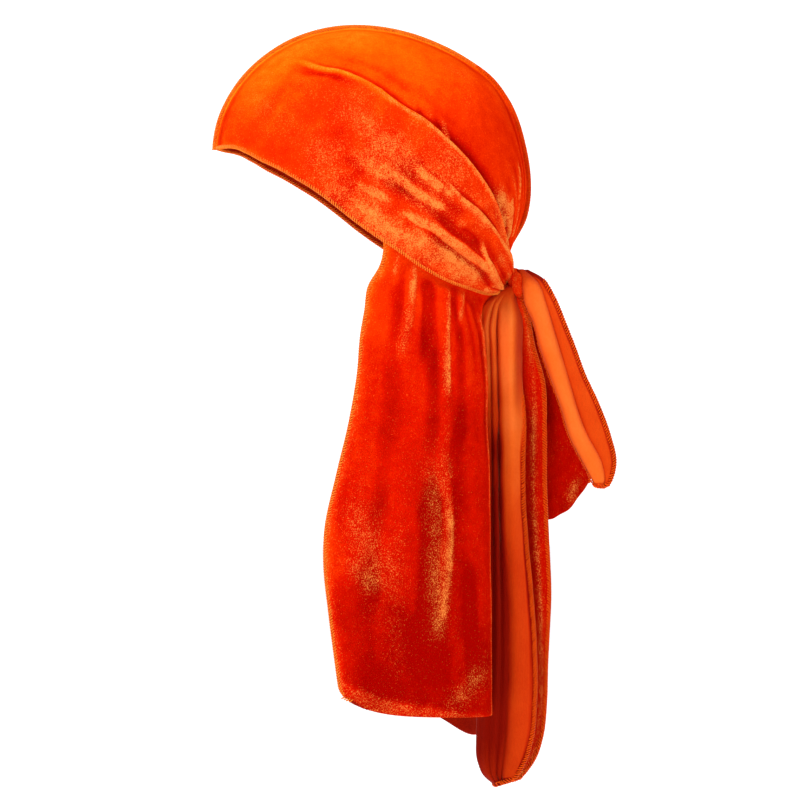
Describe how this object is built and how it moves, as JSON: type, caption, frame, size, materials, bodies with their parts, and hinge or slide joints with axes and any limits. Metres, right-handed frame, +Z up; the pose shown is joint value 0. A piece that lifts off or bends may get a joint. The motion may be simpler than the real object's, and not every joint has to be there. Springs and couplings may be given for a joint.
{
  "type": "durag",
  "caption": "Velvet durag tied on: a close cap with an outward middle seam, straps gathered to a knot at the nape, hanging strap ends and a long neck flap.",
  "frame": {"origin": "inside the crown at its top, where the top of the head touches the cloth", "axes": "+Z up as worn, -Y the way the wearer faces, +X the wearer's left"},
  "size_m": [0.1586, 0.2587, 0.4937],
  "materials": {
    "velvet": "crushed velvet pile",
    "overlock": "overlocked seam",
    "knitted_back": "smooth knitted back of the velvet"
  },
  "bodies": {
    "root": {"left_half": "velvet", "right_half": "velvet", "middle_seam": "overlock", "neck_flap": "velvet", "knot": "velvet", "bow_loop": "velvet", "long_end": "knitted_back", "short_end": "knitted_back"}
  },
  "joints": []
}
